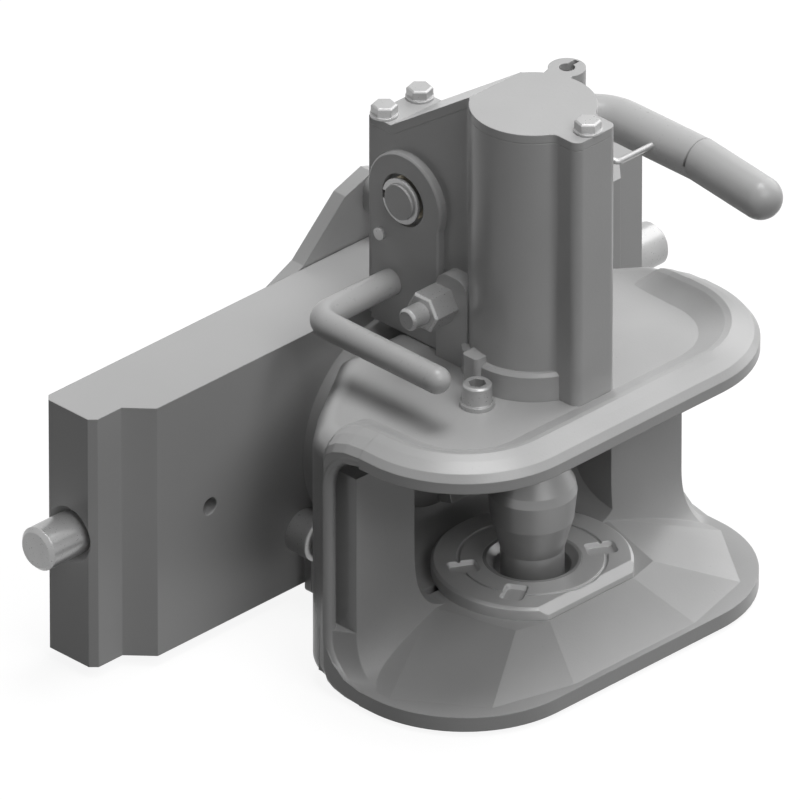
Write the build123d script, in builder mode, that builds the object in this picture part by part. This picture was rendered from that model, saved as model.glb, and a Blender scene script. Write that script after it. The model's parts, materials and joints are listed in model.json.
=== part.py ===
from build123d import *
from math import atan2, cos, degrees, hypot, radians, sin, sqrt
import os

os.makedirs("parts", exist_ok=True)

# Frame: origin where the coupling pin axis meets the swivel axis, +X to the right
# seen from the trailer, +Y towards the tractor, +Z up. All sizes in millimetres.

# Running and press clearances, radial
RUN = 0.05
LOOSE = 0.3

# Slider, the plate that is carried in the tractor's ladder frame
SLIDER_W = 330.0
SLIDER_H = 120.0
SLIDER_FRONT = 84.5
SLIDER_BACK = 124.7
LEDGE_Y = 95.5
LEDGE_X = 148.0
STEP_X = 138.0
SLIDER_CHAMFER = 3.0
BOSS_R = 52.0
BOSS_FRONT = 66.0
HUB_R = 50.0
HUB_BACK = 136.0
POCKET_R = 42.0
POCKET_Y = 110.7
FACE_HOLE_X = 107.0
FACE_HOLE_R = 4.0
STOP_X = 52.5
STOP_Z = -34.0
STOP_R = 10.0
STOP_HEAD = 13.5
STOP_SHANK_R = 5.0
STOP_DEPTH = 20.0

# Locking pins that hold the slider in the ladder frame
LOCK_R = 9.8
LOCK_Y = 110.0
LOCK_TIP = 184.5
LOCK_INNER = 75.0
LOCK_BORE_END = 52.0
LOCK_TRAVEL = 20.0
LOCK_SWING = 22.0
STUD_R = 4.0
STUD_X = 105.0
SPRING_SEAT = 98.0

# Rear release plate that draws both locking pins in
PLATE_FRONT = 125.2
PLATE_T = 7.0
ARM_END = 122.0
ARM_H = 15.0
LOBE_WALL = 6.5
GRIP_R = 10.0
GRIP_Z = 80.0
GRIP_START = 24.5
GRIP_END = 100.0

# Swivel shaft and its nut
SHAFT_R = 30.0
BUSH_T = 4.0
THREAD_R = 20.0

# Jaw, a casting open to the front and the sides
JAW_FRONT = -63.6
JAW_HALF = 104.0
JAW_CORNER_R = 55.0
JAW_SIDE_Y = 20.0
JAW_BACK = 65.5
JAW_BOTTOM = -62.8
JAW_TOP = 58.5
RIM_LOW = -56.0
RIM_HIGH = 52.0
FLOOR_Z = -40.0
CEILING_Z = 40.0
PAD_FRONT = 7.5
PAD_INNER = 54.7
PAD_OUTER = 97.0
PAD_TOP = 40.5
THROAT_R = 63.0
EDGE_TOP = 56.5
LIP_INSET = 14.0
SIDE_BEND = 21.0
BEND_START = JAW_SIDE_Y - SIDE_BEND
CORE_HALF = 88.0
BLEND_GAP = 0.15
REAR_FILLET = 11.0
BEAD_X = 101.0
BEAD_R = 3.0

# Section of the raised lip, as distance from the jaw's edge and height, and the section
# it has shrunk to where it meets the side wall
LIP_SECTION = ((0, 53), (0, 57), (2.5, 60.2), (8, 63), (12, 64.6), (15, 64), (28, 57.5), (28, 55))
LIP_ROOT = ((0, 32), (0, 47.5), (0.84, 51.7), (3.22, 55.3), (6.8, 57.7), (11, 58.5), (28, 58.5), (28, 34))
BEND_STEPS = (0.0, 9.0, 16.0, 19.5, 21.0)

# Wear disc round the lower pin hole
DISC_R = 42.8
DISC_TOP = -34.0
DISC_FRONT = -34.5

# Coupling pin
PIN_R = 19.0
PIN_GUIDE_R = 19.45
GUIDE_BORE_R = 19.5
PIN_NECK_R = 14.0
PIN_TIP_Z = -50.0
PIN_TOP_Z = 90.0
CROSS_Z = 81.0
CROSS_R = 4.0
FORK_HALF = 5.6
FORK_FLOOR = 66.0
FORK_REAR_FLOOR = 47.0

# Housing, the tower that holds the lifting gear
TOWER_R = 27.0
TOWER_TOP = 181.0
TOWER_REAR_TOP = 149.0
SLOPE_Y0 = 21.6
SLOPE_Y1 = 68.0
TOWER_BACK = 82.0
REAR_HALF = 15.0
BOSS_HALF = 12.0
BOSS_Y = -37.5
EAR_X = 32.0
EAR_Y = 12.0
EAR_R = 8.0
CAVITY_HALF = 6.0
COVER_T = 4.0

# Hand lever and lift arm
LEVER_Y = 58.0
LEVER_Z = 123.0
LEVER_R = 9.5
JOURNAL_R = 7.95
ARM_T = 10.0
ARM_HUB_R = 14.0
LEVER_X = 94.0
LEVER_BEND = 20.0
GRIP_Y = -6.0
GRIP_DROOP = 7.0
GRIP_L = 35.3
ARM_ANGLE = degrees(atan2(LEVER_Z - CROSS_Z, LEVER_Y))

# Release handle
HANDLE_R = 6.0
HANDLE_Y = 65.0
HANDLE_Z = 81.0
HANDLE_X = -64.0
HANDLE_TIP_Y = -7.0

# Trigger behind the coupling pin
TRIGGER_Y = 52.0
TRIGGER_Z = 47.0
TRIGGER_HALF = 17.0
TRIGGER_T = 8.0
TRIGGER_L = 64.0
TRIGGER_LEAN = 15.6


def jaw_outline(inset, back):
    """The plan of the jaw in front of its back wall, moved inwards by inset."""
    half_width = JAW_HALF - inset
    front = JAW_FRONT + inset
    corner = JAW_CORNER_R - inset
    bow = corner * (1 - cos(radians(45)))
    Line((0, front), (half_width - corner, front))
    ThreePointArc(
        (half_width - corner, front),
        (half_width - bow, front + bow),
        (half_width, front + corner),
    )
    Polyline(
        (half_width, front + corner),
        (half_width, BEND_START),
        (CORE_HALF, BEND_START),
        (CORE_HALF, back),
        (0, back),
    )
    mirror(about=Plane.YZ)


# Slider plate with its swivel boss in front and the release plate's hub behind
with BuildPart() as slider_plate:
    half = SLIDER_W / 2
    c = SLIDER_CHAMFER
    with BuildSketch(Plane.XY.offset(-SLIDER_H / 2)):
        with BuildLine():
            Polyline(
                (0, SLIDER_BACK),
                (half - c, SLIDER_BACK),
                (half, SLIDER_BACK - c),
                (half, LEDGE_Y + c),
                (half - c, LEDGE_Y),
                (LEDGE_X, LEDGE_Y),
                (STEP_X, SLIDER_FRONT),
                (0, SLIDER_FRONT),
            )
            mirror(about=Plane.YZ)
        make_face()
    extrude(amount=SLIDER_H)
    with BuildSketch(Plane.XZ.offset(-SLIDER_FRONT)):
        Circle(BOSS_R)
    extrude(amount=SLIDER_FRONT - BOSS_FRONT)
    with BuildSketch(Plane.XZ.offset(-SLIDER_BACK)):
        Circle(HUB_R)
    extrude(amount=-(HUB_BACK - SLIDER_BACK))
    # Swivel bore, and the pocket for its washer and nut
    with BuildSketch(Plane.XZ.offset(-BOSS_FRONT)):
        Circle(SHAFT_R + BUSH_T)
    extrude(amount=-(HUB_BACK - BOSS_FRONT), mode=Mode.SUBTRACT)
    with BuildSketch(Plane.XZ.offset(-POCKET_Y)):
        Circle(POCKET_R)
    extrude(amount=-(HUB_BACK - POCKET_Y), mode=Mode.SUBTRACT)
    for side in (-1, 1):
        # Bore of the locking pin with a countersunk mouth
        with BuildSketch(Plane.YZ.offset(side * LOCK_BORE_END)):
            with Locations((LOCK_Y, 0)):
                Circle(LOCK_R + RUN)
        extrude(amount=side * (half - LOCK_BORE_END), mode=Mode.SUBTRACT)
        with BuildSketch(Plane.YZ.offset(side * (half - c))):
            with Locations((LOCK_Y, 0)):
                Circle(LOCK_R + RUN)
        with BuildSketch(Plane.YZ.offset(side * half)):
            with Locations((LOCK_Y, 0)):
                Circle(LOCK_R + RUN + c)
        loft(mode=Mode.SUBTRACT)
        # Grease hole in the front face, and the slot for the drive stud behind
        with BuildSketch(Plane.XZ.offset(-SLIDER_FRONT)):
            with Locations((side * FACE_HOLE_X, 0)):
                Circle(FACE_HOLE_R)
        extrude(amount=-(LOCK_Y - SLIDER_FRONT), mode=Mode.SUBTRACT)
        # Threaded hole of the stop bolt
        with BuildSketch(Plane.XZ.offset(-SLIDER_FRONT)):
            with Locations((side * STOP_X, STOP_Z)):
                Circle(STOP_SHANK_R)
        extrude(amount=-STOP_DEPTH, mode=Mode.SUBTRACT)
        slot_middle = STUD_X - LOCK_TRAVEL / 2
        with BuildSketch(Plane.XZ.offset(-LOCK_Y)):
            with Locations((side * slot_middle, 0)):
                SlotCenterToCenter(LOCK_TRAVEL + 1, 2 * STUD_R + 1.4)
        extrude(amount=-(SLIDER_BACK - LOCK_Y), mode=Mode.SUBTRACT)
slider_plate.part.label = "slider_plate"
export_step(slider_plate.part, "parts/slider_plate.step")

# Bronze bush of the swivel
with BuildPart() as swivel_bush:
    with BuildSketch(Plane.XZ.offset(-BOSS_FRONT)):
        Circle(SHAFT_R + BUSH_T)
        Circle(SHAFT_R, mode=Mode.SUBTRACT)
    extrude(amount=-(POCKET_Y - BOSS_FRONT))
swivel_bush.part.label = "swivel_bush"
export_step(swivel_bush.part, "parts/swivel_bush.step")

# Keeper plate under the swivel boss, and the two stop bolts beside it
KEEPER_T = 4.0
KEEPER_HALF = 51.0
KEEPER_LOW = -65.0
KEEPER_HIGH = -46.0
with BuildPart() as keeper_plate:
    with BuildSketch(Plane.XZ.offset(-SLIDER_FRONT)):
        with Locations((0, (KEEPER_LOW + KEEPER_HIGH) / 2)):
            Rectangle(2 * KEEPER_HALF, KEEPER_HIGH - KEEPER_LOW)
        fillet(vertices().group_by(Axis.Y)[0], 3)
        Circle(BOSS_R + LOOSE, mode=Mode.SUBTRACT)
    extrude(amount=KEEPER_T)
keeper_plate.part.label = "keeper_plate"
export_step(keeper_plate.part, "parts/keeper_plate.step")

with BuildPart() as stop_bolts:
    for side in (-1, 1):
        with BuildSketch(Plane.XZ.offset(-SLIDER_FRONT)):
            with Locations((side * STOP_X, STOP_Z)):
                Circle(STOP_R)
        extrude(amount=STOP_HEAD)
        with BuildSketch(Plane.XZ.offset(-SLIDER_FRONT)):
            with Locations((side * STOP_X, STOP_Z)):
                Circle(STOP_SHANK_R)
        extrude(amount=-STOP_DEPTH)
    head_rims = edges().filter_by(GeomType.CIRCLE).group_by(Axis.Y)[0]
    fillet(head_rims, 2.5)
stop_bolts.part.label = "stop_bolts"
export_step(stop_bolts.part, "parts/stop_bolts.step")

# Locking pins with a blind hole for their springs, their drive studs and springs
SPRING_HOLE_R = 6.5
SPRING_WIRE_R = 0.9
SPRING_COIL_R = 5.0
for side, hand in ((-1, "left"), (1, "right")):
    with BuildPart() as locking_pin:
        with BuildSketch(Plane.YZ.offset(side * LOCK_INNER)):
            with Locations((LOCK_Y, 0)):
                Circle(LOCK_R)
        extrude(amount=side * (LOCK_TIP - LOCK_INNER))
        tip = edges().filter_by(GeomType.CIRCLE).sort_by(Axis.X)[-1 if side > 0 else 0]
        chamfer(tip, 1.8)
        with BuildSketch(Plane.YZ.offset(side * LOCK_INNER)):
            with Locations((LOCK_Y, 0)):
                Circle(SPRING_HOLE_R)
        extrude(amount=side * (SPRING_SEAT - LOCK_INNER), mode=Mode.SUBTRACT)
        with BuildSketch(Plane.XZ.offset(-LOCK_Y)):
            with Locations((side * STUD_X, 0)):
                Circle(STUD_R)
        extrude(amount=-2 * LOCK_R, mode=Mode.SUBTRACT)
    locking_pin.part.label = hand + "_locking_pin"
    export_step(locking_pin.part, "parts/" + hand + "_locking_pin.step")

    with BuildPart() as drive_stud:
        with BuildSketch(Plane.XZ.offset(-LOCK_Y)):
            with Locations((side * STUD_X, 0)):
                Circle(STUD_R)
        extrude(amount=-(PLATE_FRONT + PLATE_T + 2 - LOCK_Y))
    drive_stud.part.label = hand + "_drive_stud"
    export_step(drive_stud.part, "parts/" + hand + "_drive_stud.step")

    spring_length = SPRING_SEAT - LOCK_BORE_END - 2 * SPRING_WIRE_R
    spring_start = side * (LOCK_BORE_END + SPRING_WIRE_R)
    with BuildPart() as locking_spring:
        with BuildLine() as turns:
            Helix(
                pitch=spring_length / 7,
                height=spring_length,
                radius=SPRING_COIL_R,
                center=(spring_start, LOCK_Y, 0),
                direction=(side, 0, 0),
            )
        with BuildSketch(Plane(origin=turns.line @ 0, z_dir=turns.line % 0)):
            RegularPolygon(SPRING_WIRE_R, 6)
        sweep(path=turns.line, is_frenet=True)
    locking_spring.part.label = hand + "_locking_spring"
    export_step(locking_spring.part, "parts/" + hand + "_locking_spring.step")

# Release plate: a ring on the hub with one cam slot on each side and an arm for the grip
with BuildPart() as release_plate:
    with BuildSketch(Plane.XZ.offset(-PLATE_FRONT)):
        Circle(HUB_R + 9)
        Rectangle(2 * ARM_END, 2 * ARM_H)
        fillet(vertices(), 8)
        with BuildLine():
            Polyline(
                (-44, 30),
                (-31, 52),
                (-11, 61),
                (14, 84.5),
                (30, 90),
                (46, 84.5),
                (46, 30),
                (-44, 30),
            )
        make_face()
        Circle(HUB_R + RUN, mode=Mode.SUBTRACT)
    extrude(amount=-PLATE_T)
    for side in (-1, 1):
        # Cam slot in a lobe: as the plate turns, the stud's distance from the axis shrinks steadily
        slot_points = []
        for share in (0.0, 0.5, 1.0):
            turn = radians(LOCK_SWING) * share
            reach = side * (STUD_X - LOCK_TRAVEL * share)
            slot_points.append((reach * cos(turn), -reach * sin(turn)))
        with BuildSketch(Plane.XZ.offset(-PLATE_FRONT)):
            with BuildLine() as lobe:
                ThreePointArc(*slot_points)
            SlotArc(lobe.wire(), 2 * STUD_R + 2 * LOBE_WALL)
        extrude(amount=-PLATE_T)
        with BuildSketch(Plane.XZ.offset(-PLATE_FRONT)):
            with BuildLine() as cam:
                ThreePointArc(*slot_points)
            SlotArc(cam.wire(), 2 * STUD_R + 0.8)
        extrude(amount=-PLATE_T, mode=Mode.SUBTRACT)
release_plate.part.label = "release_plate"
export_step(release_plate.part, "parts/release_plate.step")

# Grip bar that straddles the arm's tip
with BuildPart() as release_grip:
    with BuildSketch(Plane.YZ.offset(GRIP_START)):
        with Locations((SLIDER_BACK + 0.5, GRIP_Z)):
            Circle(GRIP_R)
    extrude(amount=GRIP_END - GRIP_START)
    fillet(edges().filter_by(GeomType.CIRCLE), 7)
    add(release_plate.part, mode=Mode.SUBTRACT)
release_grip.part.label = "release_grip"
export_step(release_grip.part, "parts/release_grip.step")

with BuildPart() as release_circlip:
    with BuildSketch(Plane.XZ.offset(-(PLATE_FRONT + PLATE_T + LOOSE))):
        Circle(HUB_R + 4)
        Circle(HUB_R, mode=Mode.SUBTRACT)
        with Locations((0, -HUB_R - 2)):
            Rectangle(10, 6, mode=Mode.SUBTRACT)
    extrude(amount=-2)
release_circlip.part.label = "release_circlip"
export_step(release_circlip.part, "parts/release_circlip.step")

# Back of the jaw casting, tapering to the swivel
with BuildPart() as jaw_rear:
    with BuildSketch(Plane.XY.offset(JAW_BOTTOM)):
        with BuildLine():
            Polyline(
                (0, JAW_SIDE_Y),
                (JAW_HALF, JAW_SIDE_Y),
                (101, 30),
                (86, 42),
                (50, JAW_BACK),
                (0, JAW_BACK),
            )
            mirror(about=Plane.YZ)
        make_face()
        fillet(vertices().filter_by(lambda v: 25 < v.Y < 50), 15)
    extrude(amount=JAW_TOP - JAW_BOTTOM)
    rear_rims = edges().filter_by(
        lambda e: e.center().Y > JAW_SIDE_Y + 2
        and (abs(e.center().Z - JAW_TOP) < 0.1 or abs(e.center().Z - JAW_BOTTOM) < 0.1)
    )
    fillet(rear_rims, REAR_FILLET)

# Bends where both plates turn into the side walls, the upper one with its lip
with BuildPart() as jaw_bends:
    core_x = 28 - JAW_HALF
    for step in (-2.0, *BEND_STEPS):
        drop = 1 - sqrt(1 - (max(step, 0) / SIDE_BEND) ** 2)
        lip_points = []
        for (inset, z), (root_inset, root_z) in zip(LIP_SECTION, LIP_ROOT):
            x = inset + drop * (root_inset - inset) - JAW_HALF
            lip_points.append((x + BLEND_GAP, z + drop * (root_z - z) - BLEND_GAP))
        with BuildSketch(Plane.XZ.offset(-(BEND_START + step))):
            with BuildLine():
                Polyline(*lip_points, close=True)
            make_face()
    loft(ruled=True)
    for step in BEND_STEPS:
        drop = 1 - sqrt(1 - (step / SIDE_BEND) ** 2)
        edge_r = 0.5 + (REAR_FILLET - 0.5) * drop
        bow = edge_r * (1 - cos(radians(45)))
        with BuildSketch(Plane.XZ.offset(-(BEND_START + step))):
            with BuildLine():
                Polyline(
                    (edge_r - JAW_HALF, JAW_BOTTOM),
                    (core_x, JAW_BOTTOM),
                    (core_x, RIM_LOW + SIDE_BEND * drop),
                    (-JAW_HALF, RIM_LOW + SIDE_BEND * drop),
                    (-JAW_HALF, JAW_BOTTOM + edge_r),
                )
                ThreePointArc(
                    (-JAW_HALF, JAW_BOTTOM + edge_r),
                    (bow - JAW_HALF, JAW_BOTTOM + bow),
                    (edge_r - JAW_HALF, JAW_BOTTOM),
                )
            make_face()
    loft(ruled=True)
    mirror(about=Plane.YZ)

# Jaw casting
with BuildPart() as jaw:
    # Upper and lower plates
    for low, high, inset in (
        (JAW_BOTTOM, RIM_LOW, 0),
        (RIM_HIGH, EDGE_TOP, 0),
        (EDGE_TOP, JAW_TOP, LIP_INSET),
    ):
        with BuildSketch(Plane.XY.offset(low)):
            with BuildLine():
                jaw_outline(inset, JAW_SIDE_Y)
            make_face()
        extrude(amount=high - low)
    # Raised lip round the upper plate
    corner = JAW_CORNER_R * (1 - cos(radians(45)))
    with BuildLine() as lip_path:
        Line((-JAW_HALF, BEND_START), (-JAW_HALF, JAW_FRONT + JAW_CORNER_R))
        ThreePointArc(
            (-JAW_HALF, JAW_FRONT + JAW_CORNER_R),
            (-JAW_HALF + corner, JAW_FRONT + corner),
            (-JAW_HALF + JAW_CORNER_R, JAW_FRONT),
        )
        Line((-JAW_HALF + JAW_CORNER_R, JAW_FRONT), (JAW_HALF - JAW_CORNER_R, JAW_FRONT))
        ThreePointArc(
            (JAW_HALF - JAW_CORNER_R, JAW_FRONT),
            (JAW_HALF - corner, JAW_FRONT + corner),
            (JAW_HALF, JAW_FRONT + JAW_CORNER_R),
        )
        Line((JAW_HALF, JAW_FRONT + JAW_CORNER_R), (JAW_HALF, BEND_START))
    with BuildSketch(Plane(origin=(-JAW_HALF, BEND_START, 0), x_dir=(1, 0, 0), z_dir=(0, -1, 0))):
        with BuildLine():
            Polyline(*LIP_SECTION, close=True)
        make_face()
    sweep(path=lip_path.wire())
    # Ramps that lead a drawbar eye to the pin, below and above
    for rim, floor in ((RIM_LOW, FLOOR_Z), (RIM_HIGH, CEILING_Z)):
        with BuildSketch(Plane.XY.offset(rim)):
            with BuildLine():
                Polyline(
                    (0, -60.5), (36, -60.5), (74, -50), (99, -14), (99, 16), (0, 16),
                )
                mirror(about=Plane.YZ)
            make_face()
        with BuildSketch(Plane.XY.offset(floor)):
            with BuildLine():
                Polyline(
                    (0, -35), (25, -35), (41, -31), (52, 8), (53, 16), (0, 16),
                )
                mirror(about=Plane.YZ)
            make_face()
        loft(ruled=True)
    # Back of the casting
    add(jaw_rear.part)
    # Pads each side of the throat
    for side in (-1, 1):
        with BuildSketch(Plane.XY.offset(RIM_LOW)):
            with Locations((side * (PAD_INNER + PAD_OUTER) / 2, (PAD_FRONT + JAW_SIDE_Y) / 2)):
                Rectangle(PAD_OUTER - PAD_INNER, JAW_SIDE_Y - PAD_FRONT)
        extrude(amount=PAD_TOP - RIM_LOW)
        # Hollow fillets between the pads and the ramps, running out at the side wall
        for inner, outer in (
            ((46, PAD_FRONT, -2, -15), (PAD_OUTER, PAD_FRONT, -10, -34)),
            ((PAD_OUTER, PAD_FRONT, -10, -34), (103, JAW_SIDE_Y, BEND_START - 3, -35)),
        ):
            for x, face_y, reach, high in (inner, outer):
                with BuildSketch(Plane.YZ.offset(side * x)):
                    with BuildLine():
                        Polyline(
                            (face_y, high),
                            (JAW_SIDE_Y + 4, high),
                            (JAW_SIDE_Y + 4, RIM_LOW),
                            (reach, RIM_LOW),
                        )
                        Bezier((reach, RIM_LOW), (face_y, RIM_LOW), (face_y, high))
                    make_face()
            loft(ruled=True)
    add(jaw_bends.part)
    # Throat round the pin, with a deep fillet to the floor
    with BuildSketch(Plane.XZ):
        with BuildLine():
            Line((0, CEILING_Z), (THROAT_R, CEILING_Z))
            Line((THROAT_R, CEILING_Z), (THROAT_R, -8))
            Bezier((THROAT_R, -8), (THROAT_R, FLOOR_Z), (44, FLOOR_Z))
            Line((44, FLOOR_Z), (0, FLOOR_Z))
            Line((0, FLOOR_Z), (0, CEILING_Z))
        make_face()
    throat = revolve(axis=Axis.Z, revolution_arc=360, mode=Mode.PRIVATE)
    add(throat.cut(Pos(PAD_INNER + 50, 0, 0) * Box(100, 200, 200, mode=Mode.PRIVATE)), mode=Mode.SUBTRACT)
    # Beads that run from the upper lip down the back of each side opening to the lower rim
    for side in (-1, 1):
        with BuildLine(Plane.YZ.offset(side * BEAD_X)) as bead_path:
            FilletPolyline(
                (JAW_FRONT + JAW_CORNER_R, 55),
                (JAW_SIDE_Y, 55),
                (JAW_SIDE_Y, -57),
                (JAW_FRONT + JAW_CORNER_R, -59.4),
                radius=SIDE_BEND,
            )
        with BuildSketch(Plane(origin=(side * BEAD_X, JAW_FRONT + JAW_CORNER_R, 55), z_dir=(0, 1, 0))):
            Circle(BEAD_R)
        sweep(path=bead_path.wire())
    # Round hub that meets the swivel boss, and its bore
    with BuildSketch(Plane.XZ.offset(-JAW_BACK)):
        Circle(SHAFT_R)
    extrude(amount=10, mode=Mode.SUBTRACT)
    # Pin holes, the seat of the wear disc and the trigger's slot
    with BuildSketch(Plane.XY.offset(JAW_BOTTOM)):
        Circle(21)
    extrude(amount=FLOOR_Z - JAW_BOTTOM, mode=Mode.SUBTRACT)
    with BuildSketch(Plane.XY.offset(CEILING_Z)):
        Circle(24)
        with Locations((0, TRIGGER_Y - 2)):
            Rectangle(2 * TRIGGER_HALF + 1.6, 30)
    extrude(amount=JAW_TOP - CEILING_Z, mode=Mode.SUBTRACT)
    with BuildSketch(Plane.YZ.offset(-26)):
        with Locations((TRIGGER_Y, TRIGGER_Z)):
            Circle(5)
    extrude(amount=52, mode=Mode.SUBTRACT)
jaw.part.label = "jaw"
export_step(jaw.part, "parts/jaw.step")

# Wear disc round the lower pin hole, cut straight where the front ramp begins
with BuildPart() as wear_disc:
    with BuildSketch(Plane.XY.offset(FLOOR_Z)):
        Circle(DISC_R)
        Circle(21, mode=Mode.SUBTRACT)
        with Locations((0, DISC_FRONT - 10)):
            Rectangle(100, 20, mode=Mode.SUBTRACT)
    extrude(amount=DISC_TOP - FLOOR_Z)
    front_edge = edges().filter_by(Axis.X).group_by(Axis.Z)[-1]
    chamfer(front_edge, 3.5)
    rings = edges().filter_by(GeomType.CIRCLE).group_by(Axis.Z)[-1]
    outer_edge = rings.filter_by(lambda e: abs(e.radius - DISC_R) < 0.1)
    chamfer(outer_edge, 1.2)
    # A shallow ring groove and four sloping pockets that let dirt out from under the eye
    with BuildSketch(Plane.XY.offset(DISC_TOP)):
        Circle(32)
        Circle(30.6, mode=Mode.SUBTRACT)
    extrude(amount=-0.8, mode=Mode.SUBTRACT)
    for angle in (30, 150, 210, 330):
        with BuildSketch(Plane.XY.offset(DISC_TOP)):
            with PolarLocations(30, 1, start_angle=angle):
                RectangleRounded(13, 10, 2)
        extrude(amount=-2.2, taper=20, mode=Mode.SUBTRACT)
wear_disc.part.label = "wear_disc"
export_step(wear_disc.part, "parts/wear_disc.step")

# Bush in the lower pin hole, with a wide lead-in
with BuildPart() as lower_bush:
    with BuildSketch(Plane.XZ):
        with BuildLine():
            Polyline(
                (21, JAW_BOTTOM + 1),
                (21, DISC_TOP),
                (19.4, DISC_TOP),
                (16.5, DISC_TOP - 3),
                (16.5, JAW_BOTTOM + 1),
                (21, JAW_BOTTOM + 1),
            )
        make_face()
    revolve(axis=Axis.Z)
lower_bush.part.label = "lower_bush"
export_step(lower_bush.part, "parts/lower_bush.step")

# Guide bush of the coupling pin, pressed into the jaw and the housing
GUIDE_TOP = 74.0
with BuildPart() as guide_bush:
    with BuildSketch(Plane.XY.offset(CEILING_Z)):
        Circle(24)
        Circle(GUIDE_BORE_R, mode=Mode.SUBTRACT)
    extrude(amount=GUIDE_TOP - CEILING_Z)
guide_bush.part.label = "guide_bush"
export_step(guide_bush.part, "parts/guide_bush.step")

# Crowned coupling pin with a forked head
with BuildPart() as coupling_pin:
    with BuildSketch(Plane.XZ):
        with BuildLine():
            Polyline(
                (0, PIN_TIP_Z),
                (11, PIN_TIP_Z),
                (13.6, PIN_TIP_Z + 3),
                (13.6, -28),
                (17.7, -13.2),
                (PIN_R, -0.5),
                (18.2, 3.6),
                (PIN_NECK_R, 11),
                (PIN_NECK_R, 41),
                (PIN_GUIDE_R, 46),
                (PIN_GUIDE_R, PIN_TOP_Z - 1.5),
                (PIN_GUIDE_R - 1.5, PIN_TOP_Z),
                (0, PIN_TOP_Z),
                (0, PIN_TIP_Z),
            )
        make_face()
    revolve(axis=Axis.Z)
    # Fork for the lift arm, deeper behind for the raised arm, and the hole of the cross pin
    with BuildSketch(Plane.YZ.offset(-FORK_HALF)):
        with BuildLine():
            Polyline(
                (-PIN_GUIDE_R - 5, PIN_TOP_Z + 1),
                (-PIN_GUIDE_R - 5, FORK_FLOOR),
                (0, FORK_FLOOR),
                (PIN_GUIDE_R + 5, FORK_REAR_FLOOR),
                (PIN_GUIDE_R + 5, PIN_TOP_Z + 1),
                (-PIN_GUIDE_R - 5, PIN_TOP_Z + 1),
            )
        make_face()
    extrude(amount=2 * FORK_HALF, mode=Mode.SUBTRACT)
    with BuildSketch(Plane.YZ.offset(-PIN_GUIDE_R)):
        with Locations((0, CROSS_Z)):
            Circle(CROSS_R)
    extrude(amount=2 * PIN_GUIDE_R, mode=Mode.SUBTRACT)
coupling_pin.part.label = "coupling_pin"
export_step(coupling_pin.part, "parts/coupling_pin.step")

with BuildPart() as cross_pin:
    with BuildSketch(Plane.YZ.offset(-PIN_GUIDE_R + 1)):
        with Locations((0, CROSS_Z)):
            Circle(CROSS_R)
    extrude(amount=2 * PIN_GUIDE_R - 2)
cross_pin.part.label = "cross_pin"
export_step(cross_pin.part, "parts/cross_pin.step")

# Housing: the plan of the tower is one outline, so the cover repeats it
with BuildSketch() as tower_plan:
    Circle(TOWER_R)
    with Locations((0, BOSS_Y / 2)):
        Rectangle(2 * BOSS_HALF, -BOSS_Y)
    with Locations((0, TOWER_BACK / 2)):
        Rectangle(2 * REAR_HALF, TOWER_BACK)
    with Locations((EAR_X, EAR_Y)):
        Circle(EAR_R)
    with Locations((EAR_X - 8, EAR_Y - 2)):
        Rectangle(16, 12, rotation=15)
    fillet(vertices().group_by(Axis.Y)[0], 4)
    on_column = vertices().filter_by(lambda v: abs(hypot(v.X, v.Y) - TOWER_R) < 0.01)
    junctions = on_column.filter_by(lambda v: abs(v.X) < REAR_HALF + 0.1)
    fillet(junctions, 4)

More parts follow.
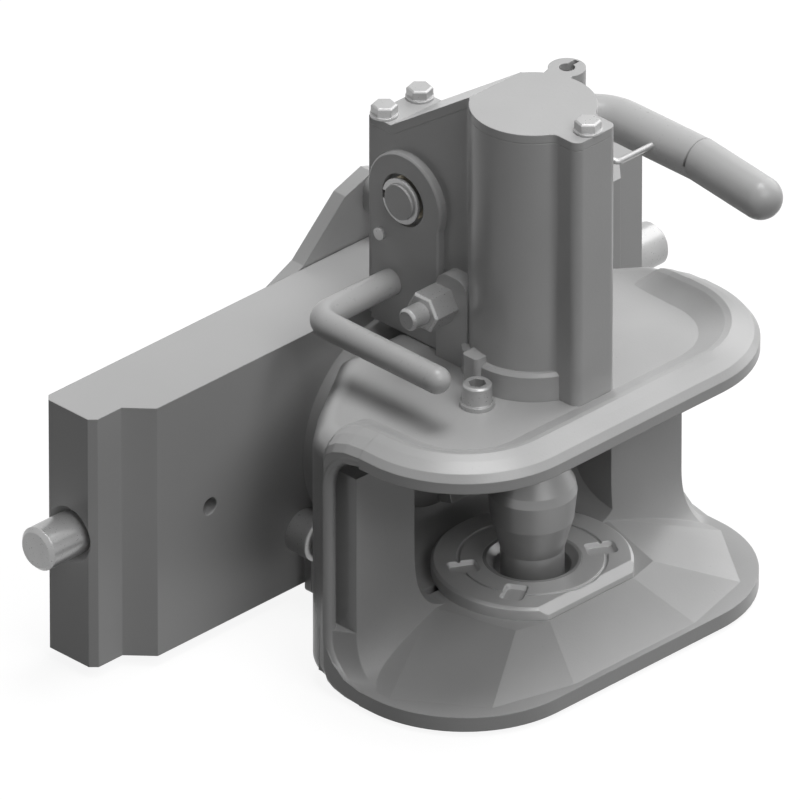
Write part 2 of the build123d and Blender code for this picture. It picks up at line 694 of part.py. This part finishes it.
HOUSING_LOW = 58.5
with BuildPart() as housing:
    with BuildSketch(Plane.XY.offset(HOUSING_LOW)):
        add(tower_plan.sketch)
    extrude(amount=TOWER_TOP - HOUSING_LOW)
    # Collar at the foot of the round column
    with BuildSketch(Plane.XY.offset(HOUSING_LOW)):
        Circle(TOWER_R + 3)
    extrude(amount=13)
    collar_rings = edges().filter_by(GeomType.CIRCLE).filter_by(lambda e: e.center().Z > 70)
    collar_rim = collar_rings.filter_by(lambda e: abs(e.radius - TOWER_R - 3) < 0.1)
    chamfer(collar_rim, 1.5)
    # Rib on the left for the stop stud, and the small lug beside it
    with BuildSketch(Plane.YZ.offset(-REAR_HALF + 5)):
        with Locations((26.25, (HOUSING_LOW + 100) / 2)):
            Rectangle(18.5, 100 - HOUSING_LOW)
        fillet(vertices().group_by(Axis.Y)[-1], 7)
    extrude(amount=-12)
    with BuildSketch(Plane.XY.offset(HOUSING_LOW)):
        with Locations((-28, 5)):
            RectangleRounded(10, 9, 2)
    extrude(amount=16)
    # The back of the top slopes down
    with BuildSketch(Plane.YZ.offset(-50)):
        with BuildLine():
            Polyline(
                (SLOPE_Y0, TOWER_TOP),
                (SLOPE_Y1, TOWER_REAR_TOP),
                (TOWER_BACK + 5, TOWER_REAR_TOP),
                (TOWER_BACK + 5, TOWER_TOP + 5),
                (SLOPE_Y0, TOWER_TOP + 5),
                (SLOPE_Y0, TOWER_TOP),
            )
        make_face()
    extrude(amount=100, mode=Mode.SUBTRACT)
    # Bore of the coupling pin and seat of its guide bush
    with BuildSketch(Plane.XY.offset(HOUSING_LOW)):
        Circle(GUIDE_BORE_R)
    extrude(amount=TOWER_TOP - HOUSING_LOW, mode=Mode.SUBTRACT)
    with BuildSketch(Plane.XY.offset(HOUSING_LOW)):
        Circle(24)
    extrude(amount=GUIDE_TOP - HOUSING_LOW, mode=Mode.SUBTRACT)
    # Chamber of the lift arm
    with BuildSketch(Plane.YZ.offset(-CAVITY_HALF)):
        with BuildLine():
            Polyline(
                (-25.5, 80),
                (-25.5, TOWER_TOP - 5),
                (10, TOWER_TOP),
                (SLOPE_Y0, TOWER_TOP),
                (SLOPE_Y1, TOWER_REAR_TOP),
                (76, TOWER_REAR_TOP),
                (76, 66),
                (24, 66),
                (10, 76),
                (-10, 76),
                (-25.5, 80),
            )
        make_face()
    extrude(amount=2 * CAVITY_HALF, mode=Mode.SUBTRACT)
    # Cross bores: lever shaft with its bushes, release handle, side plate screw, stop stud
    with BuildSketch(Plane.YZ.offset(-30)):
        with Locations((LEVER_Y, LEVER_Z)):
            Circle(10)
    extrude(amount=60, mode=Mode.SUBTRACT)
    with BuildSketch(Plane.YZ.offset(-30)):
        with Locations((HANDLE_Y, HANDLE_Z)):
            Circle(HANDLE_R + RUN)
    extrude(amount=60, mode=Mode.SUBTRACT)
    with BuildSketch(Plane.YZ.offset(-30)):
        with Locations((71, 102)):
            Circle(2)
        with Locations((31, 86)):
            Circle(5)
    extrude(amount=30 - CAVITY_HALF - 1, mode=Mode.SUBTRACT)
    # Bolt holes for the cover
    with BuildSketch(Plane.XY.offset(TOWER_TOP)):
        with Locations((0, -32), (EAR_X, EAR_Y)):
            Circle(3.4)
    extrude(amount=-16, mode=Mode.SUBTRACT)
    with BuildSketch(Plane.XY.offset(TOWER_REAR_TOP)):
        with Locations((-10.5, 77.5), (10.5, 77.5)):
            Circle(2)
    extrude(amount=-12, mode=Mode.SUBTRACT)
housing.part.label = "housing"
export_step(housing.part, "parts/housing.step")

# Cover plate, bent down over the back of the housing
with BuildPart() as cover:
    with BuildSketch(Plane.YZ.offset(-50)):
        with BuildLine():
            Polyline(
                (-45, TOWER_TOP),
                (SLOPE_Y0, TOWER_TOP),
                (SLOPE_Y1, TOWER_REAR_TOP),
                (90, TOWER_REAR_TOP),
                (90, TOWER_REAR_TOP + COVER_T),
                (SLOPE_Y1 + 1.2, TOWER_REAR_TOP + COVER_T),
                (SLOPE_Y0 + 1.2, TOWER_TOP + COVER_T),
                (-45, TOWER_TOP + COVER_T),
                (-45, TOWER_TOP),
            )
        make_face()
    extrude(amount=100)
    with BuildSketch(Plane.XY.offset(TOWER_REAR_TOP - 5)):
        add(tower_plan.sketch)
    extrude(amount=60, mode=Mode.INTERSECT)
    with BuildSketch(Plane.XY.offset(TOWER_REAR_TOP)):
        with Locations((0, -32)):
            Circle(3.4)
        with Locations((-10.5, 77.5), (10.5, 77.5)):
            Circle(2)
        with Locations((EAR_X, EAR_Y)):
            Circle(3.4)
        with Locations((EAR_X + 4, EAR_Y + 1)):
            Rectangle(6, 2.4)
    extrude(amount=50, mode=Mode.SUBTRACT)
cover.part.label = "cover"
export_step(cover.part, "parts/cover.step")

# Flanged bolts of the cover: two at the back and one on the front boss
BOLT_FLANGE_R = 6.1
BOLT_HEX_R = 5.7
with BuildPart() as cover_bolts:
    for x, y, seat, shank_r in (
        (-10.5, 77.5, TOWER_REAR_TOP + COVER_T, 2),
        (10.5, 77.5, TOWER_REAR_TOP + COVER_T, 2),
        (0, -32, TOWER_TOP + COVER_T, 3.4),
    ):
        with BuildSketch(Plane.XY.offset(seat)):
            with Locations((x, y)):
                Circle(BOLT_FLANGE_R)
        extrude(amount=1.1)
        with BuildSketch(Plane.XY.offset(seat)):
            with Locations((x, y)):
                RegularPolygon(BOLT_HEX_R, 6, rotation=15)
        extrude(amount=5.3)
        with BuildSketch(Plane.XY.offset(seat)):
            with Locations((x, y)):
                Circle(shank_r)
        extrude(amount=-14)
    head_tops = faces().filter_by(Axis.Z).filter_by(lambda f: f.area > 60 and f.normal_at().Z > 0)
    chamfer(head_tops.edges(), 0.7)
cover_bolts.part.label = "cover_bolts"
export_step(cover_bolts.part, "parts/cover_bolts.step")

# Keyhole-shaped side plate on the left wall
PLATE_OUT = 19.0
with BuildPart() as side_plate:
    with BuildSketch(Plane.YZ.offset(-REAR_HALF)):
        with Locations((57.5, LEVER_Z)):
            Circle(21.5)
        with Locations((57.5, (HOUSING_LOW + LEVER_Z) / 2)):
            Rectangle(40, LEVER_Z - HOUSING_LOW)
        with Locations((LEVER_Y, LEVER_Z)):
            Circle(12, mode=Mode.SUBTRACT)
        with Locations((HANDLE_Y, HANDLE_Z)):
            Circle(HANDLE_R + RUN, mode=Mode.SUBTRACT)
        with Locations((71, 102)):
            Circle(2, mode=Mode.SUBTRACT)
    extrude(amount=REAR_HALF - PLATE_OUT)
    chamfer(faces().sort_by(Axis.X)[0].outer_wire().edges(), 0.8)
side_plate.part.label = "side_plate"
export_step(side_plate.part, "parts/side_plate.step")

with BuildPart() as side_screw:
    with BuildSketch(Plane.YZ.offset(-PLATE_OUT)):
        with Locations((71, 102)):
            Circle(2.9)
    extrude(amount=-1.6)
    with BuildSketch(Plane.YZ.offset(-PLATE_OUT)):
        with Locations((71, 102)):
            Circle(2)
    extrude(amount=10)
side_screw.part.label = "side_screw"
export_step(side_screw.part, "parts/side_screw.step")

# Stop stud and its nut on the rib
RIB_FACE = -22.0
with BuildPart() as stop_stud:
    with BuildSketch(Plane.YZ.offset(-44)):
        with Locations((31, 86)):
            Circle(5)
    extrude(amount=44 - CAVITY_HALF - 2)
    chamfer(edges().filter_by(GeomType.CIRCLE).sort_by(Axis.X)[0], 1)
stop_stud.part.label = "stop_stud"
export_step(stop_stud.part, "parts/stop_stud.step")

with BuildPart() as stop_nut:
    with BuildSketch(Plane.YZ.offset(RIB_FACE)):
        with Locations((31, 86)):
            RegularPolygon(9, 6, rotation=0)
            Circle(5, mode=Mode.SUBTRACT)
    extrude(amount=-13)
    chamfer(faces().sort_by(Axis.X)[0].outer_wire().edges(), 0.9)
stop_nut.part.label = "stop_nut"
export_step(stop_nut.part, "parts/stop_nut.step")

# Socket screw that holds the housing down on the jaw
with BuildPart() as socket_screw:
    with BuildSketch(Plane.XY.offset(JAW_TOP)):
        with Locations((-39, -6)):
            Circle(7.5)
    extrude(amount=2)
    with BuildSketch(Plane.XY.offset(JAW_TOP + 2)):
        with Locations((-39, -6)):
            Circle(6.3)
            RegularPolygon(3.9, 6, mode=Mode.SUBTRACT)
    extrude(amount=8.6)
    head_ring = edges().filter_by(GeomType.CIRCLE).group_by(Axis.Z)[-1]
    chamfer(head_ring, 0.8)
socket_screw.part.label = "socket_screw"
export_step(socket_screw.part, "parts/socket_screw.step")

# Swivel shaft with its washer and nut in the slider's pocket
with BuildPart() as swivel_shaft:
    with BuildSketch(Plane.XZ.offset(-(JAW_BACK - 10))):
        Circle(SHAFT_R)
    extrude(amount=-10.2)
    with BuildSketch(Plane.XZ.offset(-(JAW_BACK + 0.2))):
        Circle(SHAFT_R - RUN)
    extrude(amount=-(POCKET_Y + LOOSE - JAW_BACK - 0.2))
    with BuildSketch(Plane.XZ.offset(-(POCKET_Y + LOOSE))):
        Circle(THREAD_R)
    extrude(amount=-24)
    chamfer(edges().filter_by(GeomType.CIRCLE).sort_by(Axis.Y)[-1], 2)
swivel_shaft.part.label = "swivel_shaft"
export_step(swivel_shaft.part, "parts/swivel_shaft.step")

with BuildPart() as swivel_washer:
    with BuildSketch(Plane.XZ.offset(-(POCKET_Y + LOOSE))):
        Circle(POCKET_R - 1.5)
        Circle(THREAD_R, mode=Mode.SUBTRACT)
    extrude(amount=-5)
swivel_washer.part.label = "swivel_washer"
export_step(swivel_washer.part, "parts/swivel_washer.step")

with BuildPart() as swivel_nut:
    with BuildSketch(Plane.XZ.offset(-(POCKET_Y + LOOSE + 5))):
        RegularPolygon(34, 6)
        Circle(THREAD_R, mode=Mode.SUBTRACT)
    extrude(amount=-16)
    chamfer(faces().sort_by(Axis.Y)[-1].outer_wire().edges(), 2)
swivel_nut.part.label = "swivel_nut"
export_step(swivel_nut.part, "parts/swivel_nut.step")

# Bushes of the lever shaft in both walls of the housing
for side, hand in ((-1, "left"), (1, "right")):
    with BuildPart() as lever_bush:
        with BuildSketch(Plane.YZ.offset(side * (CAVITY_HALF + 0.4))):
            with Locations((LEVER_Y, LEVER_Z)):
                Circle(10)
                Circle(JOURNAL_R + RUN, mode=Mode.SUBTRACT)
        extrude(amount=side * (REAR_HALF - CAVITY_HALF - 0.4))
    lever_bush.part.label = hand + "_lever_bush"
    export_step(lever_bush.part, "parts/" + hand + "_lever_bush.step")

# Hand lever: journal, straight shaft, one bend and the arm
LEVER_SHOULDER = REAR_HALF + 0.6
with BuildPart() as hand_lever:
    with BuildSketch(Plane.YZ.offset(-PLATE_OUT - 3)):
        with Locations((LEVER_Y, LEVER_Z)):
            Circle(JOURNAL_R)
    extrude(amount=PLATE_OUT + 3 + LEVER_SHOULDER)
    with BuildLine(Plane.XY.offset(LEVER_Z)) as lever_path:
        FilletPolyline(
            (LEVER_SHOULDER, LEVER_Y),
            (LEVER_X, LEVER_Y),
            (LEVER_X, GRIP_Y),
            radius=LEVER_BEND,
        )
    with BuildSketch(Plane.YZ.offset(LEVER_SHOULDER)):
        with Locations((LEVER_Y, LEVER_Z)):
            Circle(LEVER_R)
    sweep(path=lever_path.wire())
hand_lever.part.label = "hand_lever"
export_step(hand_lever.part, "parts/hand_lever.step")

# Grip sleeve on the lever's end, drooping a little, with a round tip
grip_plane = Plane(
    origin=(LEVER_X, GRIP_Y, LEVER_Z),
    x_dir=(1, 0, 0),
    z_dir=(0, -cos(radians(GRIP_DROOP)), -sin(radians(GRIP_DROOP))),
)
with BuildPart() as lever_grip:
    with BuildSketch(grip_plane.offset(-1.5)):
        Circle(LEVER_R)
    extrude(amount=GRIP_L + 1.5)
    with Locations(grip_plane.offset(GRIP_L)):
        Sphere(LEVER_R)
    add(hand_lever.part, mode=Mode.SUBTRACT)
lever_grip.part.label = "lever_grip"
export_step(lever_grip.part, "parts/lever_grip.step")

with BuildPart() as lever_circlip:
    with BuildSketch(Plane.YZ.offset(-PLATE_OUT - 0.3)):
        with Locations((LEVER_Y, LEVER_Z)):
            Circle(JOURNAL_R + 2.4)
            Circle(JOURNAL_R, mode=Mode.SUBTRACT)
        with Locations((LEVER_Y + JOURNAL_R + 1, LEVER_Z)):
            Rectangle(6, 4, mode=Mode.SUBTRACT)
    extrude(amount=-1.4)
lever_circlip.part.label = "lever_circlip"
export_step(lever_circlip.part, "parts/lever_circlip.step")

# Lift arm on the lever's journal, its slot round the pin's cross pin
SLOT_NEAR = LEVER_Y - 1.5
SLOT_FAR = 72.5
SLOT_R = CROSS_R + 2.4
arm_plane = Plane(
    origin=(-ARM_T / 2, LEVER_Y, LEVER_Z),
    x_dir=(0, -cos(radians(ARM_ANGLE)), -sin(radians(ARM_ANGLE))),
    z_dir=(1, 0, 0),
)
with BuildPart() as lift_arm:
    with BuildSketch(arm_plane):
        Circle(ARM_HUB_R)
        with BuildLine():
            Polyline(
                (0, -11),
                (SLOT_NEAR - 6, -10),
                (SLOT_FAR, -10),
                (SLOT_FAR, 10),
                (SLOT_NEAR - 6, 10),
                (0, 11),
                (0, -11),
            )
        make_face()
        with Locations((SLOT_FAR, 0)):
            Circle(10)
        Circle(JOURNAL_R, mode=Mode.SUBTRACT)
        with Locations(((SLOT_NEAR + SLOT_FAR) / 2, 0)):
            SlotCenterToCenter(SLOT_FAR - SLOT_NEAR, 2 * SLOT_R, mode=Mode.SUBTRACT)
    extrude(amount=ARM_T)
lift_arm.part.label = "lift_arm"
export_step(lift_arm.part, "parts/lift_arm.step")

# Torsion spring on the lever's shaft: coil, a leg hooked over the lever, a leg to the housing
WIRE_R = 1.4
COIL_R = 12.6
COIL_START = 44.0
COIL_L = 18.0
HOOK_X = 63.5
HOOK_Y = 14.0
HOOK_Z = 125.5
with BuildPart() as torsion_spring:
    with BuildLine() as coil:
        Helix(
            pitch=COIL_L / 5,
            height=COIL_L,
            radius=COIL_R,
            center=(COIL_START, LEVER_Y, LEVER_Z),
            direction=(1, 0, 0),
        )
    with BuildSketch(Plane(origin=coil.line @ 0, z_dir=coil.line % 0)):
        Circle(WIRE_R)
    sweep(path=coil.line, is_frenet=True)
    coil_end = coil.line @ 1
    coil_first = coil.line @ 0
    with BuildLine() as hook:
        FilletPolyline(
            coil_end,
            (HOOK_X, LEVER_Y - 10, LEVER_Z + COIL_R - 1),
            (HOOK_X, HOOK_Y, HOOK_Z),
            (LEVER_X - LEVER_R + 0.5, HOOK_Y, HOOK_Z),
            radius=3,
        )
    with BuildSketch(Plane(origin=hook.wire() @ 0, z_dir=hook.wire() % 0)):
        Circle(WIRE_R)
    sweep(path=hook.wire())
    with BuildLine() as anchor:
        Line(coil_first, (REAR_HALF + 0.4, coil_first.Y, coil_first.Z))
    with BuildSketch(Plane(origin=coil_first, z_dir=(-1, 0, 0))):
        Circle(WIRE_R)
    sweep(path=anchor.wire())
    add(hand_lever.part, mode=Mode.SUBTRACT)
torsion_spring.part.label = "torsion_spring"
export_step(torsion_spring.part, "parts/torsion_spring.step")

# Release handle: a bent bar with a cam inside the housing
with BuildPart() as release_handle:
    with BuildLine(Plane.XY.offset(HANDLE_Z)) as handle_path:
        FilletPolyline(
            (CAVITY_HALF + 7, HANDLE_Y),
            (HANDLE_X, HANDLE_Y),
            (HANDLE_X, HANDLE_TIP_Y),
            radius=9,
        )
    with BuildSketch(Plane.YZ.offset(CAVITY_HALF + 7)):
        with Locations((HANDLE_Y, HANDLE_Z)):
            Circle(HANDLE_R)
    sweep(path=handle_path.wire())
    with Locations((HANDLE_X, HANDLE_TIP_Y, HANDLE_Z)):
        Sphere(HANDLE_R)
release_handle.part.label = "release_handle"
export_step(release_handle.part, "parts/release_handle.step")

# Pawl on the release handle's shaft, under the heel of the lift arm
with BuildPart() as pawl:
    with BuildSketch(Plane.YZ.offset(-ARM_T / 2)):
        with Locations((HANDLE_Y, HANDLE_Z)):
            Circle(9.5)
        with BuildLine():
            Polyline(
                (HANDLE_Y - 9.5, HANDLE_Z - 2),
                (HANDLE_Y - 17, HANDLE_Z + 1),
                (HANDLE_Y - 17, HANDLE_Z + 6),
                (HANDLE_Y - 5, HANDLE_Z + 8),
                (HANDLE_Y - 9.5, HANDLE_Z - 2),
            )
        make_face()
        with Locations((HANDLE_Y, HANDLE_Z)):
            Circle(HANDLE_R, mode=Mode.SUBTRACT)
    extrude(amount=ARM_T)
pawl.part.label = "pawl"
export_step(pawl.part, "parts/pawl.step")

# Trigger plate that hangs behind the pin, leaning forward at its lower end
trigger_plane = Plane(
    origin=(-TRIGGER_HALF, TRIGGER_Y, TRIGGER_Z),
    x_dir=(0, -sin(radians(TRIGGER_LEAN)), -cos(radians(TRIGGER_LEAN))),
    z_dir=(1, 0, 0),
)
with BuildPart() as trigger:
    with BuildSketch(trigger_plane):
        Circle(9)
        with Locations((TRIGGER_L / 2, 0)):
            Rectangle(TRIGGER_L, TRIGGER_T)
        Circle(5 + RUN, mode=Mode.SUBTRACT)
    extrude(amount=2 * TRIGGER_HALF)
    chamfer(edges().filter_by(Axis.X).group_by(Axis.Z)[0], 1.5)
trigger.part.label = "trigger"
export_step(trigger.part, "parts/trigger.step")

with BuildPart() as trigger_pin:
    with BuildSketch(Plane.YZ.offset(-26)):
        with Locations((TRIGGER_Y, TRIGGER_Z)):
            Circle(5)
    extrude(amount=52)
trigger_pin.part.label = "trigger_pin"
export_step(trigger_pin.part, "parts/trigger_pin.step")
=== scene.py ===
import bpy
import json
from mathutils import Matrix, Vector


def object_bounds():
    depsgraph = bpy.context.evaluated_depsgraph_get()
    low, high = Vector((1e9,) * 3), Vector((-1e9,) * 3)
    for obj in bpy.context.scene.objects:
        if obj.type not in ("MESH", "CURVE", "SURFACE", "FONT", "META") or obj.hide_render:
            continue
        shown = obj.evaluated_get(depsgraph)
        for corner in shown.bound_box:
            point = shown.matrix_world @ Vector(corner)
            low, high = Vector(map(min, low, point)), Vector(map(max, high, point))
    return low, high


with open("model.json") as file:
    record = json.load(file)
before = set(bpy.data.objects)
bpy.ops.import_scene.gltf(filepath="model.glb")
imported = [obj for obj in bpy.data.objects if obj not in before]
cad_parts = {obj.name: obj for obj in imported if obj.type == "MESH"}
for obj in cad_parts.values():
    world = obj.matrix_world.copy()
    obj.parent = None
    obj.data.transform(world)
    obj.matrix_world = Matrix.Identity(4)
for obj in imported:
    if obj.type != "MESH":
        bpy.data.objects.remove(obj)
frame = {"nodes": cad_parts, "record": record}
cad_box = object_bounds()

# Camera: the photograph is a parallel view from the left front and 30 degrees above.
# A very long lens from far away gives the same picture.
AIM = Vector((0.0125, 0.0912, 0.0))
VIEW_WIDTH = 0.33755
LENS = 1500.0
SENSOR = 36.0
CLIP_END = 100.0
BACKWARD = Vector((-0.61237, -0.61237, 0.5))

# Light levels. The lamps' powers are in watts.
KEY_POWER = 22.0
SIDE_POWER = 23.0
FRONT_POWER = 15.0
LAMP_DISTANCE = 2.0
WORLD_LEVEL = 0.03

# Floor: what it throws back on the part, and what it shows where it is seen
FLOOR_SIZE = 6.0
FLOOR_GAP = 0.0002
FLOOR_ROUGH = 0.9
FLOOR_BOUNCE = 0.05
FLOOR_SEEN = 0.15
FLOOR_GLOW = 0.9

# What all the finishes share. The edge radius is in metres.
SPECULAR = 0.45
ROUGH_SPREAD = 0.08
TONE_STOPS = (0.3, 0.7)
PATCH_DETAIL = 4
GRAIN_DETAIL = 6
EDGE_SAMPLES = 4
EDGE_RADIUS = 0.0007
BUMP_STRENGTH = 0.35


def node_tree(material):
    """Clear a material's nodes and return its tree and a new shader."""
    material.use_nodes = True
    tree = material.node_tree
    tree.nodes.clear()
    out = tree.nodes.new("ShaderNodeOutputMaterial")
    shader = tree.nodes.new("ShaderNodeBsdfPrincipled")
    tree.links.new(shader.outputs["BSDF"], out.inputs["Surface"])
    return tree, shader


def noise(tree, scale, detail, stretch=(1, 1, 1)):
    """Noise in object space, stretched along one axis where the finish has a direction."""
    coordinates = tree.nodes.new("ShaderNodeTexCoord")
    mapping = tree.nodes.new("ShaderNodeMapping")
    mapping.inputs["Scale"].default_value = stretch
    texture = tree.nodes.new("ShaderNodeTexNoise")
    texture.inputs["Scale"].default_value = scale
    texture.inputs["Detail"].default_value = detail
    tree.links.new(coordinates.outputs["Object"], mapping.inputs["Vector"])
    tree.links.new(mapping.outputs["Vector"], texture.inputs["Vector"])
    return texture.outputs["Fac"]


def mix_tones(tree, factor, dark, light):
    """Blend two greys by a factor."""
    ramp = tree.nodes.new("ShaderNodeValToRGB")
    for stop, position, tone in zip(ramp.color_ramp.elements, TONE_STOPS, (dark, light)):
        stop.position = position
        stop.color = (*tone, 1)
    tree.links.new(factor, ramp.inputs["Fac"])
    return ramp.outputs["Color"]


def spread(tree, factor, low, high):
    """Map a 0 to 1 factor to a range."""
    node = tree.nodes.new("ShaderNodeMapRange")
    node.inputs["To Min"].default_value = low
    node.inputs["To Max"].default_value = high
    tree.links.new(factor, node.inputs["Value"])
    return node.outputs["Result"]


def finish(name, grey, contrast, rough, metallic, patch, grain, depth, stretch=(1, 1, 1), tint=(1, 1, 1)):
    """A grey metal finish: slow patches of tone, fine grain in bump, edges softened a little.

    patch and grain are the scales of the two noises, and depth is the grain's height in metres.
    """
    material = bpy.data.materials.new(name)
    tree, shader = node_tree(material)
    slow = noise(tree, patch, PATCH_DETAIL)
    fine = noise(tree, grain, GRAIN_DETAIL, stretch)
    dark = [grey * (1 - contrast) * t for t in tint]
    light = [grey * (1 + contrast) * t for t in tint]
    tree.links.new(mix_tones(tree, slow, dark, light), shader.inputs["Base Color"])
    roughness = spread(tree, fine, rough - ROUGH_SPREAD, rough + ROUGH_SPREAD)
    tree.links.new(roughness, shader.inputs["Roughness"])
    shader.inputs["Metallic"].default_value = metallic
    shader.inputs["Specular IOR Level"].default_value = SPECULAR
    edge = tree.nodes.new("ShaderNodeBevel")
    edge.samples = EDGE_SAMPLES
    edge.inputs["Radius"].default_value = EDGE_RADIUS
    bump = tree.nodes.new("ShaderNodeBump")
    bump.inputs["Strength"].default_value = BUMP_STRENGTH
    bump.inputs["Distance"].default_value = depth
    tree.links.new(fine, bump.inputs["Height"])
    tree.links.new(edge.outputs["Normal"], bump.inputs["Normal"])
    tree.links.new(bump.outputs["Normal"], shader.inputs["Normal"])
    return material


FINISHES = {
    "painted_casting": finish("cast_paint", 0.42, 0.035, 0.31, 0.0, 22, 900, 0.00012),
    "plate_steel": finish("plate_paint", 0.42, 0.025, 0.36, 0.0, 14, 700, 0.00005),
    "hardened_steel": finish("hardened", 0.40, 0.05, 0.36, 0.35, 30, 600, 0.00003, (1, 1, 6)),
    "ground_steel": finish("ground", 0.62, 0.04, 0.34, 0.25, 30, 600, 0.00003, (1, 1, 6)),
    "zinc_steel": finish("zinc", 0.50, 0.06, 0.30, 0.45, 60, 1200, 0.00003),
    "bronze": finish("bronze", 0.40, 0.05, 0.34, 0.6, 50, 800, 0.00003, (1, 1, 5), (1.1, 0.98, 0.76)),
    "spring_wire": finish("wire", 0.46, 0.05, 0.30, 0.5, 60, 1200, 0.00002),
    "bar_steel": finish("bar_paint", 0.44, 0.03, 0.30, 0.0, 26, 500, 0.00002),
    "grip": finish("grip_paint", 0.40, 0.04, 0.32, 0.0, 30, 700, 0.00003),
}
# Each node wears its slot's finish, but the wear disc is bright ground steel
FINISH_OF = {row["node"]: row["material_slot"] for row in frame["record"]["subparts"]}
FINISH_OF["wear_disc"] = "ground_steel"
for name in frame["nodes"]:
    mesh = bpy.data.objects[name].data
    for index in range(len(mesh.materials)):
        mesh.materials[index] = FINISHES[FINISH_OF[name]]
    if not mesh.materials:
        mesh.materials.append(FINISHES[FINISH_OF[name]])


def light(name, direction, size, power):
    """A square soft lamp that faces the part."""
    lamp = bpy.data.lights.new(name, "AREA")
    lamp.size = size
    lamp.energy = power
    obj = bpy.data.objects.new(name, lamp)
    obj.location = AIM + Vector(direction).normalized() * LAMP_DISTANCE
    obj.rotation_euler = Vector(direction).to_track_quat("Z", "Y").to_euler()
    bpy.context.scene.collection.objects.link(obj)


light("key", (0.08, -0.06, 0.99), 0.9, KEY_POWER)
light("side", (0.83, 0.0, 0.53), 2.0, SIDE_POWER)
light("front", (-0.1, -0.68, 0.72), 1.2, FRONT_POWER)


def seen_directly(tree):
    """1 for the camera's own rays and for rays through mirrors and glass, else 0."""
    path = tree.nodes.new("ShaderNodeLightPath")
    total = path.outputs["Is Camera Ray"]
    for kind in ("Is Glossy Ray", "Is Transmission Ray"):
        either = tree.nodes.new("ShaderNodeMath")
        either.operation = "MAXIMUM"
        tree.links.new(total, either.inputs[0])
        tree.links.new(path.outputs[kind], either.inputs[1])
        total = either.outputs["Value"]
    return total


def choose(tree, factor, first, second):
    """Mix two shaders by a factor."""
    mix = tree.nodes.new("ShaderNodeMixShader")
    tree.links.new(factor, mix.inputs["Fac"])
    tree.links.new(first, mix.inputs[1])
    tree.links.new(second, mix.inputs[2])
    return mix.outputs["Shader"]


# World: a plain level of light, white where it is seen
world = bpy.data.worlds.new("studio")
bpy.context.scene.world = world
world.use_nodes = True
world_tree = world.node_tree
world_tree.nodes.clear()
world_out = world_tree.nodes.new("ShaderNodeOutputWorld")
dim = world_tree.nodes.new("ShaderNodeBackground")
dim.inputs["Strength"].default_value = WORLD_LEVEL
white = world_tree.nodes.new("ShaderNodeBackground")
white.inputs["Strength"].default_value = 1.0
for node in (dim, white):
    node.inputs["Color"].default_value = (1, 1, 1, 1)
world_seen = seen_directly(world_tree)
world_look = choose(world_tree, world_seen, dim.outputs["Background"], white.outputs["Background"])
world_tree.links.new(world_look, world_out.inputs["Surface"])

# Floor just under the lowest point: white where it is seen, with the part's soft shadow
bpy.ops.mesh.primitive_plane_add(size=FLOOR_SIZE, location=(0, 0, cad_box[0][2] - FLOOR_GAP))
floor = bpy.context.object
floor.name = "floor"
floor_material = bpy.data.materials.new("floor")
floor_tree, floor_shader = node_tree(floor_material)
floor_out = floor_tree.nodes["Material Output"]
floor_shader.inputs["Base Color"].default_value = (FLOOR_BOUNCE, FLOOR_BOUNCE, FLOOR_BOUNCE, 1)
floor_shader.inputs["Roughness"].default_value = FLOOR_ROUGH
floor_shader.inputs["Specular IOR Level"].default_value = 0.0
glow = floor_tree.nodes.new("ShaderNodeEmission")
glow.inputs["Color"].default_value = (1, 1, 1, 1)
glow.inputs["Strength"].default_value = FLOOR_GLOW
shade = floor_tree.nodes.new("ShaderNodeBsdfDiffuse")
shade.inputs["Color"].default_value = (FLOOR_SEEN, FLOOR_SEEN, FLOOR_SEEN, 1)
pale = floor_tree.nodes.new("ShaderNodeAddShader")
floor_tree.links.new(shade.outputs["BSDF"], pale.inputs[0])
floor_tree.links.new(glow.outputs["Emission"], pale.inputs[1])
floor_seen = seen_directly(floor_tree)
floor_look = choose(floor_tree, floor_seen, floor_shader.outputs["BSDF"], pale.outputs["Shader"])
floor_tree.links.new(floor_look, floor_out.inputs["Surface"])
floor.data.materials.append(floor_material)

camera_data = bpy.data.cameras.new("camera")
camera_data.lens = LENS
camera_data.sensor_width = SENSOR
camera_data.clip_end = CLIP_END
camera = bpy.data.objects.new("camera", camera_data)
camera.location = AIM + BACKWARD.normalized() * (VIEW_WIDTH * LENS / SENSOR)
camera.rotation_euler = BACKWARD.to_track_quat("Z", "Y").to_euler()
bpy.context.scene.collection.objects.link(camera)
bpy.context.scene.camera = camera
bpy.context.scene.view_settings.view_transform = "Standard"
